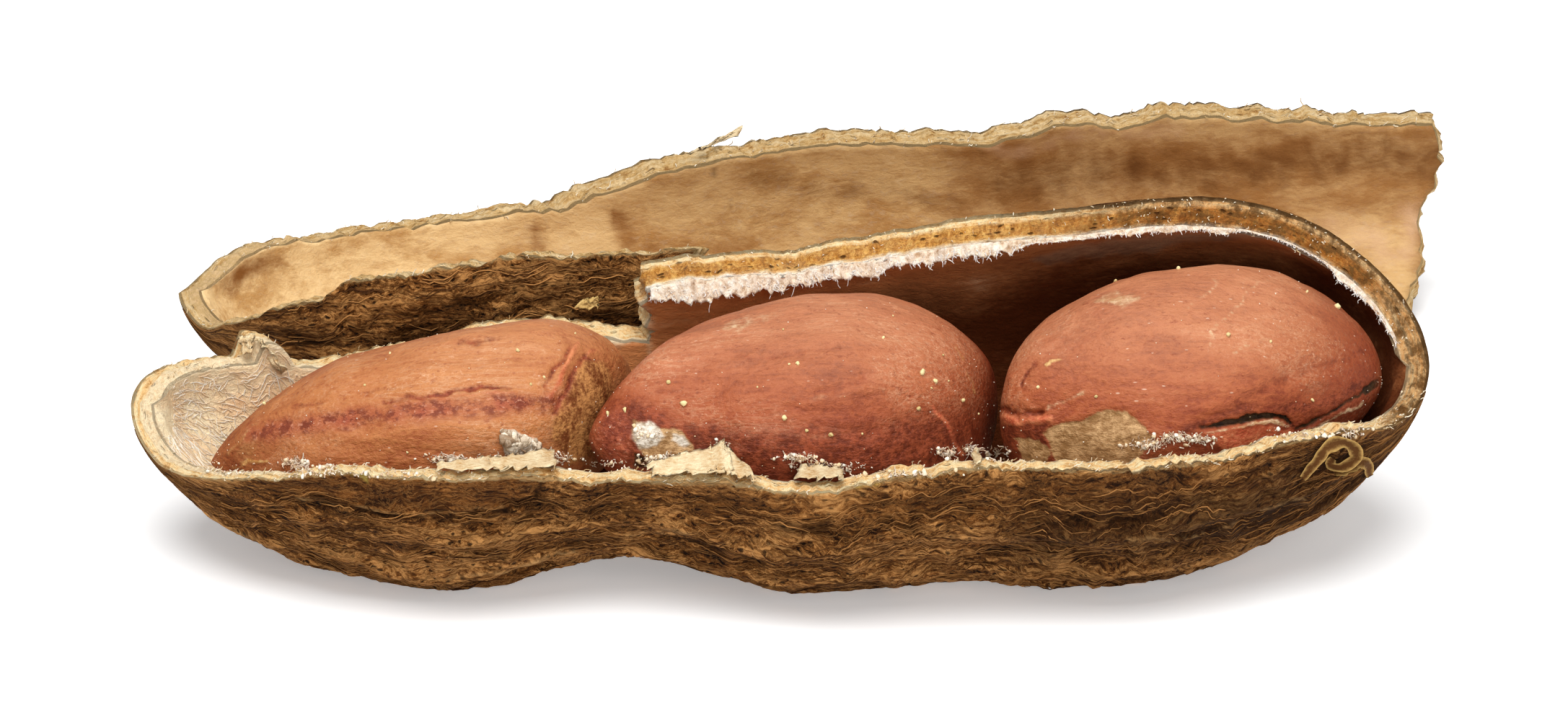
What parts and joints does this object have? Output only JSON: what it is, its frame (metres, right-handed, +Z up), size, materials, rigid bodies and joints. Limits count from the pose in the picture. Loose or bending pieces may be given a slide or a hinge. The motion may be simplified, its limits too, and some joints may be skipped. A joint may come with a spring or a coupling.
{
  "type": "peanut",
  "caption": "Opened dry peanut pod: a lobed shell half with a hood over its seeds, the other shell half behind it, and skinned kernels in place.",
  "frame": {"origin": "middle of the flat spot under the front shell piece's middle lobe, on the surface that the pod lies on", "axes": "+X along the pod towards its right end, +Y towards the back shell piece, +Z up"},
  "size_m": [0.054, 0.0347, 0.0143],
  "materials": {
    "shell": "dry fibrous shell, matt",
    "kernel_skin": "papery seed skin, satin"
  },
  "bodies": {
    "root": {"shell_front": "shell", "shell_back": "shell", "kernel_left": "kernel_skin", "kernel_middle": "kernel_skin", "kernel_right": "kernel_skin"}
  },
  "joints": []
}
